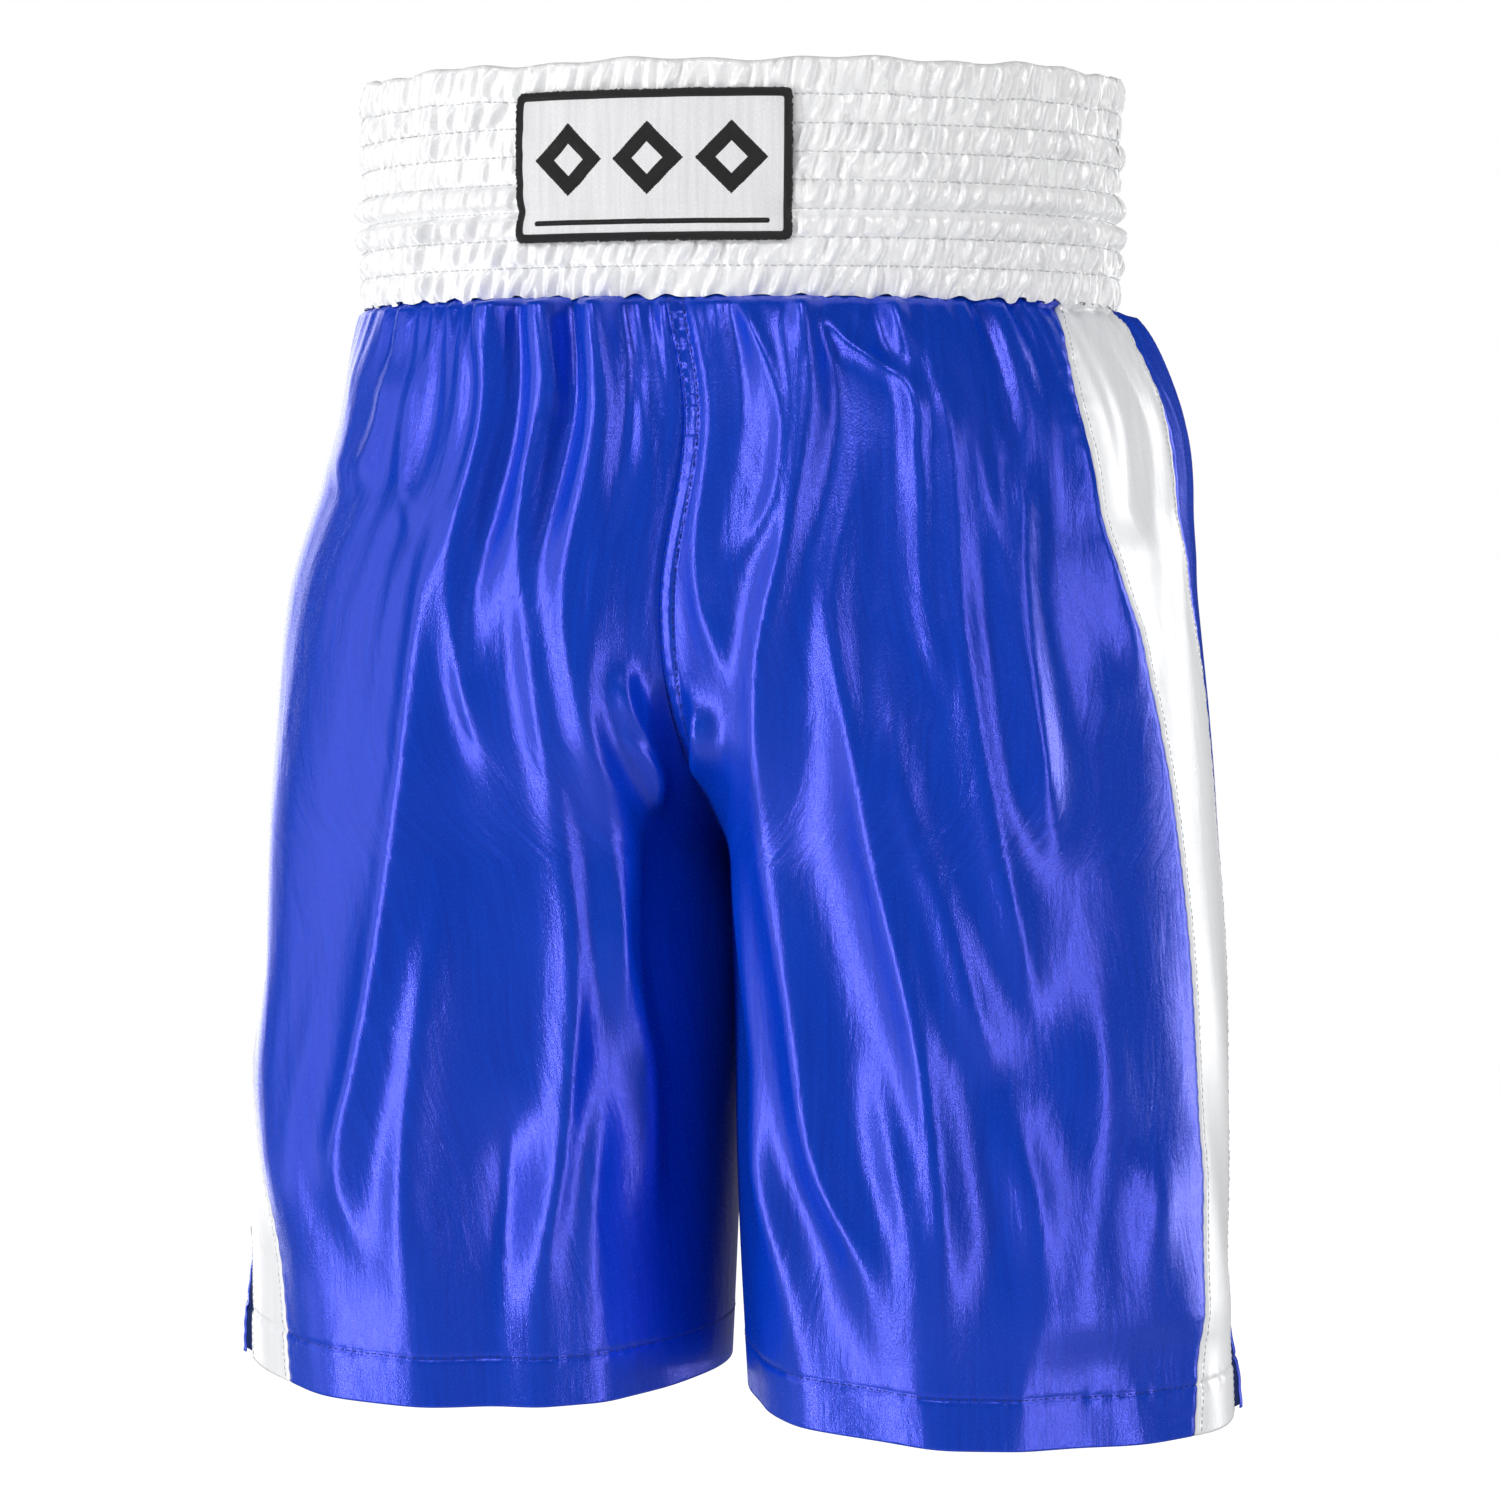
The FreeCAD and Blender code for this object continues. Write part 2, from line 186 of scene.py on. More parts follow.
def stripe_angle(side, z, offset):
    """The angle of a line that follows the stripe's middle at an offset towards the back.

    It is the arc sine of the distance over the oval's depth, plus the cloth's own twist.
    """
    down = (BAND_LOW - z) / (BAND_LOW - HEM)
    shift = STRIPE_SHIFT[0] + (STRIPE_SHIFT[1] - STRIPE_SHIFT[0]) * down
    deep = oval(z)[2]
    turn = np.array(STRIPE_TURN[side])
    twist = np.radians(curve(down, turn[:, 0], turn[:, 1]))
    return np.arcsin(np.clip((shift + offset) / deep, -1, 1)) + twist


# Fold ridges on the front: side, height, half width, then the ridge's route as (across, drop below
# the waist's top) points.  All in millimetres.
FRONT_FOLDS = [
    (-1, 4.0, 7, [(-168, 112), (-177, 145), (-184, 185)]),
    (-1, 3.5, 6, [(-158, 125), (-165, 155), (-174, 182)]),
    (-1, 3.5, 6, [(-140, 118), (-152, 160), (-149, 185), (-142, 205)]),
    (-1, 7.0, 9, [(-100, 95), (-117, 128), (-127, 180), (-135, 250), (-150, 345), (-164, 450),
                  (-171, 510), (-162, 560)]),
    (-1, 5.0, 6, [(-97, 95), (-108, 132), (-117, 190), (-117, 265), (-111, 310)]),
    (-1, 6.0, 8, [(-87, 97), (-95, 145), (-90, 215), (-84, 310), (-80, 400), (-84, 490),
                  (-92, 560), (-92, 614)]),
    (-1, 3.5, 5, [(-70, 95), (-79, 125), (-82, 150)]),
    (-1, 4.5, 7, [(-56, 92), (-68, 155), (-70, 220), (-65, 340), (-61, 445)]),
    (-1, 6.0, 8, [(-52, 92), (-61, 168), (-58, 225), (-63, 290), (-56, 350), (-60, 385),
                  (-48, 440), (-44, 500), (-39, 560)]),
    (-1, 4.0, 6, [(-52, 120), (-40, 185), (-36, 230), (-39, 262)]),
    (-1, -4.0, 9, [(-104, 455), (-106, 520), (-112, 600)]),
    (-1, 3.5, 12, [(-200, 250), (-206, 330), (-208, 440), (-196, 560)]),
    (-1, 4.5, 7, [(-46, 268), (-36, 292), (-41, 325)]),
    (1, 4.0, 6, [(-22, 96), (-20, 150), (-17, 215), (-6, 252), (0, 272)]),
    (1, 6.0, 7, [(-4, 250), (5, 295), (9, 355), (17, 425), (25, 490), (33, 545), (38, 612)]),
    (1, 4.0, 5, [(-2, 95), (9, 130), (12, 165), (9, 200), (2, 215)]),
    (1, 7.0, 8, [(21, 92), (20, 160), (20, 215), (14, 268), (20, 325), (33, 410), (46, 485),
                 (62, 535), (66, 590)]),
    (1, 6.5, 8, [(34, 131), (42, 175), (42, 230), (52, 290), (66, 360), (80, 430), (90, 500),
                 (93, 590)]),
    (1, 4.5, 6, [(32, 99), (44, 122), (58, 133), (69, 170), (78, 215), (90, 275)]),
    (1, 4.5, 8, [(63, 252), (72, 310), (88, 365), (107, 440)]),
    (1, 6.0, 8, [(68, 92), (75, 130), (84, 180), (94, 230), (103, 300), (115, 370), (126, 425)]),
    (1, 5.0, 8, [(82, 140), (98, 180), (112, 225), (122, 280), (135, 355)]),
    (1, 4.5, 7, [(96, 142), (112, 180), (120, 225), (126, 290), (126, 330)]),
    (1, 5.5, 9, [(133, 130), (144, 172), (158, 220), (171, 270)]),
    (1, 2.5, 16, [(134, 205), (148, 250), (160, 290)]),
    (1, -8.0, 17, [(152, 98), (158, 140), (166, 178), (172, 212)]),
    (1, 3.5, 12, [(179, 470), (171, 535), (178, 575)]),
    (1, 4.0, 14, [(150, 380), (150, 480), (140, 590)]),
    (1, 3.5, 6, [(-14, 282), (-6, 300), (-13, 320)]),
    (-1, 5.5, 5, [(-44, 258), (-46, 282), (-38, 300), (-34, 318)]),
    (-1, 4.0, 4, [(-52, 290), (-44, 306), (-42, 330)]),
    (1, 5.5, 5, [(-20, 272), (-10, 286), (-8, 300), (-14, 316)]),
    (1, 4.0, 4, [(-24, 300), (-16, 314), (-15, 334)]),
    (-1, 5.0, 10, [(-128, 330), (-140, 430), (-146, 520), (-140, 612)]),
    (-1, 4.0, 8, [(-66, 440), (-70, 520), (-66, 612)]),
    (1, 4.5, 9, [(58, 420), (72, 480), (84, 560), (88, 612)]),
    (1, 4.5, 9, [(112, 440), (124, 500), (126, 560), (120, 612)]),
    (1, 3.5, 10, [(20, 440), (26, 500), (24, 560), (28, 612)]),
    (-1, 3.0, 10, [(-186, 400), (-190, 470), (-188, 560), (-182, 612)]),
]


def ridge(across, drop, height, width, route):
    """A fold: a crest along a smooth route, rounded on top, that falls off on both sides.

    The crest's share at a distance of u half widths is exp(r - sqrt(u squared + r squared)), where
    r rounds its top.  Its height swells over the first third of the route and dies over the last
    fifth, and every fold grows on its way down, then opens out and flattens as it nears the hem.
    """
    rounding, margin = 0.5, 0.006
    band_foot, free_foot = 0.11, 0.60
    places = np.array(route) / MILLIMETRES
    middle = curve(drop, places[:, 1], places[:, 0])
    top, foot = places[0, 1], places[-1, 1]
    onset, ending = 0.34 * (foot - top), 0.2 * (foot - top)
    into = smoothstep(top - margin, top + onset, drop) if top > band_foot else 1.0
    out = 1.0 - smoothstep(foot - ending, foot + margin, drop) if foot < free_foot else 1.0
    near_hem = smoothstep(0.500, 0.605, drop)
    distance = (across - middle) / (width / MILLIMETRES * (1 + 0.9 * near_hem))
    gain = (1.3 + 0.85 * smoothstep(0.27, 0.48, drop)) * (1 - 0.45 * near_hem)
    share = np.exp(rounding - np.sqrt(distance ** 2 + rounding ** 2))
    return gain * height / MILLIMETRES * into * out * share


def back_folds():
    """Ridges for the back, drawn from the waist down at uneven places, some ending half way."""
    random = np.random.default_rng(21)
    folds = []
    reach, count, top, waist_share = 190, 23, 95, 0.86
    for place in np.linspace(-reach, reach, count):
        start = place * waist_share + random.uniform(-5, 5)
        spread = random.uniform(1.12, 1.3)
        foot = random.choice([240, 330, 430, 560, 615])
        middle = (top + foot) / 2
        route = [(start, top), (start * (1 + spread) / 2 + random.uniform(-6, 6), middle),
                 (start * spread, foot)]
        side = 1 if place > 0 else -1
        folds.append((side, random.uniform(3.5, 6.5), random.uniform(6, 11), route))
    return folds


BACK_FOLDS = back_folds()


def fold_field(side, x, y, z, facing):
    """Height of all folds at a point: the front's and the back's, each on its own half.

    It is the sum of the ridges, faded out near the centre seam and from front to back.
    """
    across = x * math.cos(TURN) + y * math.sin(TURN)
    near_seam = smoothstep(0.0, 0.022, np.abs(x))
    total = np.zeros(np.broadcast(x, z).shape)
    front = smoothstep(-0.25, 0.25, facing)
    for own_side, height, width, route in FRONT_FOLDS:
        if own_side == side:
            total += front * near_seam * ridge(across, -z, height, width, route)
    for own_side, height, width, route in BACK_FOLDS:
        if own_side == side:
            total += (1 - front) * near_seam * ridge(x, -z, height, width, route)
    return total


GATHERS = [np.random.default_rng(seed) for seed in (3, 4)]
FINE_WAVES = (GATHERS[0].integers(48, 100, 9), GATHERS[0].uniform(0, 6.28, 9))
BROAD_WAVES = (GATHERS[1].integers(24, 50, 7), GATHERS[1].uniform(0, 6.28, 7))


def waves(turns, kind, lean=0.0):
    """A closed wave from a list of whole frequencies and phases, leaning with height.

    The sum of cosines of frequency times turns plus phase, each leaning a little differently.
    """
    unevenness = 0.3
    return sum(np.cos(FULL_TURN * w * turns + p + lean * (1 + unevenness * math.sin(9 * p)))
               for w, p in zip(*kind)) / math.sqrt(len(kind[0]))


def gather_field(x, y, z):
    """Gathers below the band: fine ones that die out first, broad ones that reach further.

    Both are waves round the body that die exponentially with the drop, weaker at the stripes, on
    top of a puff that lifts the cloth out from under the band.
    """
    fine_height, fine_reach, fine_lean = 0.0023, 0.032, 25
    broad_height, broad_reach, broad_lean = 0.0044, 0.095, 14
    puff_height, puff_more, puff_reach = 0.0042, 0.0030, 0.008
    turns = np.arctan2(y / WAIST_DEEP, x / WAIST_HALF) / FULL_TURN
    drop = np.maximum(BAND_LOW - z, 0)
    plain = 1 - 0.75 * smoothstep(0.72, 0.9, np.abs(x) / WAIST_HALF)
    fine = (fine_height * plain * np.exp(-drop / fine_reach)
            * waves(turns, FINE_WAVES, drop * fine_lean))
    broad = (broad_height * plain * np.exp(-drop / broad_reach)
             * waves(turns, BROAD_WAVES, drop * broad_lean))
    puff = (puff_height + puff_more * smoothstep(-0.05, 0.15, x)) * (1 - np.exp(-drop / puff_reach))
    return fine + broad + puff


def hem_field(side, angle, z):
    """Slow waves of each leg towards the hem, and the turned hem's doubled cloth and stitch line.

    Waves round the leg grow from the crotch down, narrower ones twisting as they go.  The right
    leg's outer side kicks out at its foot.  The stitch line is a pucker and a narrow groove.
    """
    slow_height, narrow_height, kick_height = 0.0026, 0.0009, 0.008
    pucker_height, groove, step = 0.00028, 0.0007, 0.0005
    random = np.random.default_rng(11 + side)
    turns = angle / FULL_TURN
    slow = slow_height * smoothstep(CROTCH, HEM, z) * ripple(turns, 2, 6, 4, random)
    drift = (z - HEM) * (1.2 if side > 0 else -1.0)
    narrow = narrow_height * smoothstep(CROTCH + 0.03, CROTCH - 0.12, z)
    slow = slow + narrow * ripple(turns + drift / 2.5, 9, 17, 5, random) * smoothstep(
        math.pi, math.pi - 0.5, np.abs(angle))
    if side < 0:
        kick = np.exp(-((angle + 0.15) / 0.55) ** 2)
        slow = slow + kick_height * kick * smoothstep(-0.395, -0.475, z)
    pucker = pucker_height * ripple(turns, 45, 95, 8, random)
    line = HEM + HEM_DEPTH
    near = np.exp(-((z - line) / 0.0035) ** 2)
    pinch = -groove * np.exp(-((z - line) / 0.0013) ** 2)
    return slow + near * pucker + pinch + step * smoothstep(line, line - 0.001, z)


def seam_field(side, x, y, z):
    """The centre seam: a valley at the join and a raised, puckered strip on the wearer's left."""
    valley, strip_height, groove, strip_edge = 0.0010, 0.0008, 0.0006, 0.0015
    above = smoothstep(CROTCH, CROTCH + 0.02, z)
    if side < 0:
        return above * -valley * np.exp(-(x / 0.0035) ** 2)
    pucker = 0.0004 * (np.sin(z * 900 + 2 * np.sin(z * 130)) + 0.6 * np.sin(z * 1500))
    strip = smoothstep(0.0, strip_edge, x) * (1 - smoothstep(SEAM_ROW, SEAM_ROW + strip_edge, x))
    pinch = -groove * np.exp(-((x - SEAM_ROW) / 0.0012) ** 2)
    return above * (-valley * np.exp(-(x / 0.0012) ** 2) + strip * (strip_height + pucker) + pinch)


def vent_kick(side, angle, z):
    """The cloth behind each slit stands out a little towards the hem."""
    slit = stripe_angle(side, z, STRIPE_WIDTH / 2 - VENT_SETBACK)
    past = angle - slit
    behind = smoothstep(-0.02, 0.16, past) * (1 - smoothstep(0.45, 1.1, past))
    low = 1 - smoothstep(HEM + 0.01, HEM + VENT_HEIGHT + 0.004, z)
    return VENT_KICK[side] * behind * low


def stripe_field(side, angle, z):
    """A stitched-down line just inside each edge of the stripe, with a slight ridge at the seam."""
    depth, groove_width, crest_width = 0.0006, 0.0016, 0.0012
    pucker_height, pucker_width = 0.00018, 0.007
    deep = oval(z)[2]
    total = 0.0
    for offset in (-STRIPE_WIDTH / 2, STRIPE_WIDTH / 2):
        away = (angle - stripe_angle(side, z, offset)) * deep
        inward = away if offset < 0 else -away
        total = total - depth * np.exp(-(away / groove_width) ** 2)
        total = total + depth * np.exp(-((inward - groove_width) / crest_width) ** 2)
        pucker = np.sin(z * 700 + 3 * np.sin(z * 60 + side)) * pucker_height
        total = total + pucker * np.exp(-(away / pucker_width) ** 2)
    return total


def cloth_point(side, angle, z, lift=0.0):
    """A point of the cloth: the oval's edge at an angle from the outer side, pushed out by fields.

    Angles below zero are towards the front.  The push is along the oval's normal, and near the
    centre seam it turns square to it.  It fades inside the legs and under the band, where the top
    edge is tucked in.  The whole then leans sideways and the hems rise.
    """
    centre, wide, deep = oval(z)
    x = centre + wide * np.cos(angle)
    y = deep * np.sin(angle)
    nx, ny = np.cos(angle) / wide, np.sin(angle) / deep
    size = np.hypot(nx, ny)
    nx, ny = nx / size, ny / size
    facing = side * nx * math.sin(TURN) - ny * math.cos(TURN)
    push = (
        fold_field(side, side * x, y, z, facing)
        + gather_field(side * x, y, z)
        + vent_kick(side, angle, z)
        + hem_field(side, angle, z)
        + seam_field(side, x, y, z)
        + stripe_field(side, angle, z)
    )
    above = smoothstep(CROTCH - 0.005, CROTCH + 0.03, z)
    square = above * (1 - smoothstep(0.0, 0.02, x))
    inside = 1 - 0.85 * (1 - above) * smoothstep(-0.65, -1.0, nx)
    nx = nx * (1 - square)
    ny = ny * (1 - square) + np.sign(y) * square * np.minimum(1.0, np.abs(y) / 0.02)
    free = smoothstep(0.0, 0.0035, BAND_LOW - z)
    push = push * inside * free - TUCK * (1 - smoothstep(-0.0005, 0.0012, BAND_LOW - z)) + lift
    lean = curve(z, LEAN_Z, LEAN_X)
    low = smoothstep(CROTCH - 0.05, HEM, z)
    rise = low * HEM_LIFT * (0.5 - 0.5 * np.cos(angle)) ** 2
    outer = OUTER_RISE * (0.5 + 0.5 * np.cos(angle + 0.2)) ** 2 if side < 0 else 0.0
    rise = rise + low * (HEM_RISE[side] + outer)
    return np.stack(np.broadcast_arrays(
        side * (x + nx * push) + lean, y + ny * push, z + rise), axis=-1)


# ------------------------------------------------------------------ waistband

LABEL_LOW, LABEL_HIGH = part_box("label_border")
LABEL_WIDE = LABEL_HIGH[0] - LABEL_LOW[0]
LABEL_TALL = LABEL_HIGH[2] - LABEL_LOW[2]
LABEL_X = (LABEL_HIGH[0] + LABEL_LOW[0]) / 2
LABEL_Z = (LABEL_HIGH[2] + LABEL_LOW[2]) / 2
BORDER = 0.004

CHANNELS = 8
ROW_PITCH = 0.0985 / CHANNELS
BAND_ROWS = [-0.0015 - k * ROW_PITCH for k in range(1, CHANNELS)]
DEEP_ROW = BAND_ROWS[4]
FULL_CHANNELS = (4, 5)    # the rolls on each side of the deep row
BAND_KNOTS = [0.0015] + BAND_ROWS + [BAND_LOW - 0.001]
# Frequencies and phases of the gathers along each row, and of the coarser ones in each channel.
ROW_WAVES = [
    (np.random.default_rng(40 + k).integers(110, 215, 12),
     np.random.default_rng(60 + k).uniform(0, 6.28, 12)) for k in range(CHANNELS + 1)
]
CHANNEL_WAVES = [
    (np.random.default_rng(80 + k).integers(70, 150, 10),
     np.random.default_rng(90 + k).uniform(0, 6.28, 10)) for k in range(CHANNELS)
]


def under_label(turns, z):
    """1 where the label presses the band flat, 0 away from it."""
    within, beyond = 0.004, 0.003
    from_middle = np.abs((turns - 0.75) * FULL_TURN * WAIST_HALF - LABEL_X)
    wide = 1 - smoothstep(LABEL_WIDE / 2 - within, LABEL_WIDE / 2 + beyond, from_middle)
    tall = 1 - smoothstep(LABEL_TALL / 2 - within, LABEL_TALL / 2 + beyond, np.abs(z - LABEL_Z))
    return wide * tall


def band_push(turns, z):
    """Outward height of the band's wall over its oval.

    Each channel bulges between its stitch rows.  Along a row the cloth has that row's fine
    gathers; inside a channel they pass from one row's to the next's, leaning, with coarser ones
    added.  The deep row is a sharp crease with a fuller roll on each side of it.
    """
    belly_height, full_more, row_height, coarse_height = 0.0009, 0.0017, 0.00085, 0.0013
    crease_depth, crease_width, lift = 0.0026, 0.0020, 0.0012
    total = np.zeros(np.broadcast(turns, z).shape)
    for k in range(CHANNELS):
        high, low = BAND_KNOTS[k], BAND_KNOTS[k + 1]
        u = np.clip((high - z) / (high - low), 0, 1)
        inside = (z <= high) & (z > low) if k else (z > low)
        if k == CHANNELS - 1:
            inside = z <= high
        belly = np.maximum(np.sin(math.pi * u), 0) ** 0.6
        full = belly_height + (full_more if k in FULL_CHANNELS else 0.0)
        lean = (u - 0.5) * 2.2
        rows = (1 - u) * waves(turns, ROW_WAVES[k], lean)
        rows = rows + u * waves(turns, ROW_WAVES[k + 1], lean)
        coarse = waves(turns, CHANNEL_WAVES[k], lean * 1.5)
        sharp = coarse + 0.5 * np.abs(coarse) - 0.4
        wall = full * belly + row_height * rows * (1 - 0.3 * belly) + coarse_height * belly * sharp
        total = total + inside * wall
    total = total - crease_depth * np.exp(-((z - DEEP_ROW) / crease_width) ** 2)
    return np.maximum(total + lift, 0.0) * (1 - 0.75 * under_label(turns, z))


def band_point(turns, z, lift=0.0, inner=False):
    """A point of the band's wall at a share of the way round, 0.75 being the centre front.

    An oval pushed out by band_push.  The inner layer lies a band's thickness inside it and bulges
    half as much inwards.  The top edge wobbles in two slow waves and the foot in fine ones.
    """
    thickness = 0.0042
    angle = FULL_TURN * turns
    wall = -thickness - 0.5 * band_push(turns, z) if inner else band_push(turns, z)
    wide = WAIST_HALF + wall + lift
    deep = WAIST_DEEP + wall + lift
    wobble = 0.0008 * np.sin(FULL_TURN * 11 * turns + 1.0)
    wobble = wobble + 0.0006 * np.sin(FULL_TURN * 29 * turns)
    foot = 0.0009 * waves(turns, FINE_WAVES) * (1 - smoothstep(BAND_LOW, BAND_LOW + 0.008, z))
    height = z + wobble * smoothstep(-0.03, 0.0, z) + foot
    return np.stack(np.broadcast_arrays(wide * np.cos(angle), deep * np.sin(angle), height),
                    axis=-1)


# ------------------------------------------------------------------ materials

def new_group(name, inputs, outputs):
    """An empty shader node group with its sockets; returns the tree and its end nodes."""
    tree = bpy.data.node_groups.new(name, "ShaderNodeTree")
    for label, kind, value in inputs:
        socket = tree.interface.new_socket(label, in_out="INPUT", socket_type=kind)
        if value is not None:
            socket.default_value = value
    for label, kind in outputs:
        tree.interface.new_socket(label, in_out="OUTPUT", socket_type=kind)
    return tree, tree.nodes.new("NodeGroupInput"), tree.nodes.new("NodeGroupOutput")


def add(tree, kind, links=(), **values):
    """A node with properties and input values set, and its inputs linked from sockets."""
    node = tree.nodes.new(kind)
    for key, value in values.items():
        if key.startswith("in_"):
            socket = node.inputs[int(key[3:])] if key[3:].isdigit() else node.inputs[key[3:]]
            socket.default_value = value
        else:
            setattr(node, key, value)
    for target, source in links:
        tree.links.new(source, node.inputs[target])
    return node


def maths(tree, operation, *values):
    """A Math node; each value is a socket to link or a number to set."""
    node = tree.nodes.new("ShaderNodeMath")
    node.operation = operation
    for socket, value in zip(node.inputs, values):
        if isinstance(value, bpy.types.NodeSocket):
            tree.links.new(value, socket)
        else:
            socket.default_value = value
    return node.outputs[0]


def stretched_noise(tree, place, per_metre, detail, distortion=0.0):
    """Noise on coordinates in metres, with its own number of features to the metre each way."""
    mapped = add(tree, "ShaderNodeMapping", [(0, place)], in_Scale=per_metre)
    noise = add(tree, "ShaderNodeTexNoise", [(0, mapped.outputs[0])], in_Scale=1.0,
                in_Detail=detail, in_Distortion=distortion)
    return noise.outputs[0]


def satin_group():
    """Woven satin on the cloth's own coordinates: long fine floats, slubs and soft creasing."""
    tree, start, end = new_group(
        "satin_weave",
        [("Coordinates", "NodeSocketVector", None), ("Colour", "NodeSocketColor", (1, 1, 1, 1)),
         ("Shade", "NodeSocketColor", (0, 0, 0, 1)), ("Rough", "NodeSocketFloat", 0.35),
         ("Creasing", "NodeSocketFloat", 0.3)],
        [("Colour", "NodeSocketColor"), ("Roughness", "NodeSocketFloat"),
         ("Height", "NodeSocketFloat")],
    )
    grain = stretched_noise(tree, start.outputs[0], (1700, 800, 1), 2.0)
    slubs = stretched_noise(tree, start.outputs[0], (420, 22, 1), 3.0)
    crease = stretched_noise(tree, start.outputs[0], (60, 24, 1), 4.0, 0.6)
    tone = maths(tree, "MULTIPLY", slubs, grain)
    spread = add(tree, "ShaderNodeMapRange", [(0, tone)], in_1=0.12, in_2=0.40)
    mixed = add(tree, "ShaderNodeMix", [(0, spread.outputs[0]), (6, start.outputs[2]),
                                        (7, start.outputs[1])], data_type="RGBA")
    worn = maths(tree, "MULTIPLY_ADD", grain, 0.12, start.outputs[3])
    creased = maths(tree, "MULTIPLY", crease, start.outputs[4])
    slubbed = maths(tree, "MULTIPLY_ADD", slubs, 0.12, creased)
    height = maths(tree, "ADD", maths(tree, "MULTIPLY", grain, 0.13), slubbed)
    tree.links.new(mixed.outputs[2], end.inputs[0])
    tree.links.new(worn, end.inputs[1])
    tree.links.new(height, end.inputs[2])
    return tree


def thread_group():
    """Twisted thread: fine slanted strands and a little colour change from stitch to stitch."""
    tree, start, end = new_group(
        "twisted_thread",
        [("Coordinates", "NodeSocketVector", None), ("Colour", "NodeSocketColor", (1, 1, 1, 1)),
         ("Strands", "NodeSocketFloat", 900.0)],
        [("Colour", "NodeSocketColor"), ("Roughness", "NodeSocketFloat"),
         ("Height", "NodeSocketFloat")],
    )
    strands = add(tree, "ShaderNodeTexWave", [(0, start.outputs[0]), (1, start.outputs[2])],
                  wave_type="BANDS", bands_direction="DIAGONAL", in_Distortion=1.5)
    patches = add(tree, "ShaderNodeTexNoise", [(0, start.outputs[0])], in_Scale=260.0)
    dark = add(tree, "ShaderNodeMix", [(6, start.outputs[1])], data_type="RGBA",
               blend_type="MULTIPLY", in_0=1.0)
    shade = add(tree, "ShaderNodeMapRange", [(0, patches.outputs[0])], in_3=0.72, in_4=1.15)
    tree.links.new(shade.outputs[0], dark.inputs[7])
    rough = add(tree, "ShaderNodeMapRange", [(0, strands.outputs[1])], in_3=0.42, in_4=0.62)
    tree.links.new(dark.outputs[2], end.inputs[0])
    tree.links.new(rough.outputs[0], end.inputs[1])
    tree.links.new(strands.outputs[1], end.inputs[2])
    return tree


SATIN = satin_group()
THREAD = thread_group()


def material_base(name):
    """A new node material; returns it, its tree and its Principled shader."""
    material = bpy.data.materials.new(name)
    material.use_nodes = True
    tree = material.node_tree
    return material, tree, tree.nodes["Principled BSDF"]


def finish_links(tree, shader, group, bump_size):
    """Feeds a group's colour, roughness and height into the shader, the height through a Bump."""
    bump = add(tree, "ShaderNodeBump", [("Height", group.outputs[2])], in_Distance=bump_size)
    tree.links.new(group.outputs[0], shader.inputs["Base Color"])
    tree.links.new(group.outputs[1], shader.inputs["Roughness"])
    tree.links.new(bump.outputs[0], shader.inputs["Normal"])


def satin(name, colour, shade, gloss_tint, rough, bump_size, creasing=0.3, level=1.0, ior=1.6,
          sheen=0.25):
    """Satin whose gloss takes the thread's own tint, woven on the cloth's coordinates."""
    material, tree, shader = material_base(name)
    uv = add(tree, "ShaderNodeUVMap", uv_map="cloth")
    group = add(tree, "ShaderNodeGroup", node_tree=SATIN)
    tree.links.new(uv.outputs[0], group.inputs[0])
    group.inputs[1].default_value = (*colour, 1)
    group.inputs[2].default_value = (*shade, 1)
    group.inputs[3].default_value = rough
    group.inputs[4].default_value = creasing
    finish_links(tree, shader, group, bump_size)
    finish = {"Specular IOR Level": level, "IOR": ior, "Specular Tint": (*gloss_tint, 1),
              "Sheen Weight": sheen, "Sheen Tint": (*gloss_tint, 1), "Sheen Roughness": 0.4}
    for name, value in finish.items():
        shader.inputs[name].default_value = value
    return material


def thread(name, colour, strands=900.0, bump_size=0.0002, sheen=0.1):
    """Sewing or embroidery thread."""
    material, tree, shader = material_base(name)
    place = add(tree, "ShaderNodeTexCoord")
    group = add(tree, "ShaderNodeGroup", node_tree=THREAD)
    tree.links.new(place.outputs["Object"], group.inputs[0])
    group.inputs[1].default_value = (*colour, 1)
    group.inputs[2].default_value = strands
    finish_links(tree, shader, group, bump_size)
    shader.inputs["Sheen Weight"].default_value = sheen
    return material


BLUE = satin("blue_satin", (0.0, 0.058, 0.58), (0.0, 0.040, 0.46), (0.19, 0.19, 1.0),
             0.195, 0.0009, creasing=0.8, level=1.0, ior=2.0, sheen=0.0)
BLUE_INSIDE = satin("blue_satin_reverse", (0.006, 0.035, 0.33), (0.004, 0.02, 0.24),
                    (0.5, 0.5, 0.9), 0.55, 0.0004, level=0.4, ior=1.45)
WHITE = satin("white_satin", (0.85, 0.855, 0.87), (0.76, 0.77, 0.80), (1.0, 1.0, 1.0),
              0.26, 0.0006, level=0.8, ior=1.6)
WHITE_INSIDE = satin("white_satin_reverse", (0.62, 0.62, 0.72), (0.5, 0.5, 0.6),
                     (1.0, 1.0, 1.0), 0.5, 0.0004, level=0.4, ior=1.45)
SHIRRED = satin("shirred_satin", (0.93, 0.93, 0.935), (0.84, 0.845, 0.86), (1.0, 1.0, 1.0),
                0.24, 0.0010, creasing=1.2, level=1.0, ior=1.6)
# The facing's near-black navy is painted shade: it stands for the shadowed inside seen through the
# slit.
FACING_PAINTED_SHADE = satin("navy_facing", (0.004, 0.018, 0.110), (0.002, 0.012, 0.075), (0.6, 0.6, 1.0),
             0.7, 0.0003, level=0.1, ior=1.45, sheen=0.0)
LABEL_CLOTH = satin("label_weave", (0.80, 0.80, 0.81), (0.68, 0.68, 0.70), (1, 1, 1),
                    0.6, 0.0002, level=0.3, ior=1.45)
BLACK = thread("black_embroidery", (0.005, 0.005, 0.006), 700.0, 0.0004, 0.05)
WHITE_THREAD = thread("white_thread", (0.78, 0.79, 0.82))
